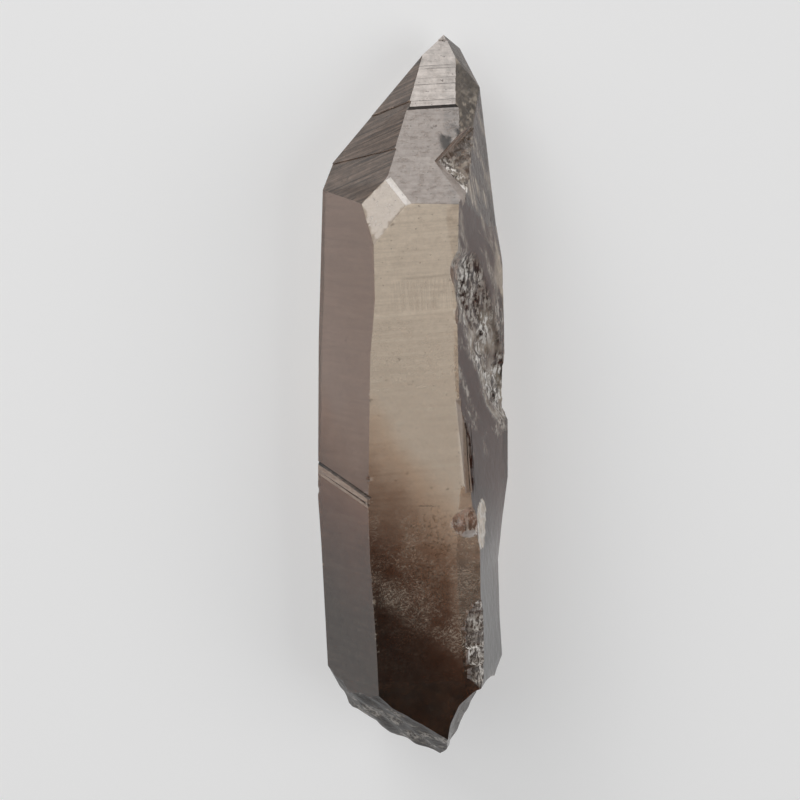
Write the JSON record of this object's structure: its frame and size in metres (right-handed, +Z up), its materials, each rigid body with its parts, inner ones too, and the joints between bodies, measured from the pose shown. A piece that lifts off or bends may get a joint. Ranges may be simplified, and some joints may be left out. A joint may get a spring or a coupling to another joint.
{
  "type": "smoky quartz crystal",
  "caption": "Natural smoky quartz crystal: a long six-sided prism with a slanted faceted point and a broken root, lying on one long face.",
  "frame": {"origin": "under the middle of the crystal, on the surface that it lies on", "axes": "+Y along the crystal towards its point, +Z up out of its broad front face, +X to the right of the front face"},
  "size_m": [0.0334, 0.1242, 0.029],
  "materials": {
    "smoky_quartz": "polished natural crystal faces, clear brown, broken and frosted in places"
  },
  "bodies": {
    "root": {"crystal": "smoky_quartz"}
  },
  "joints": []
}
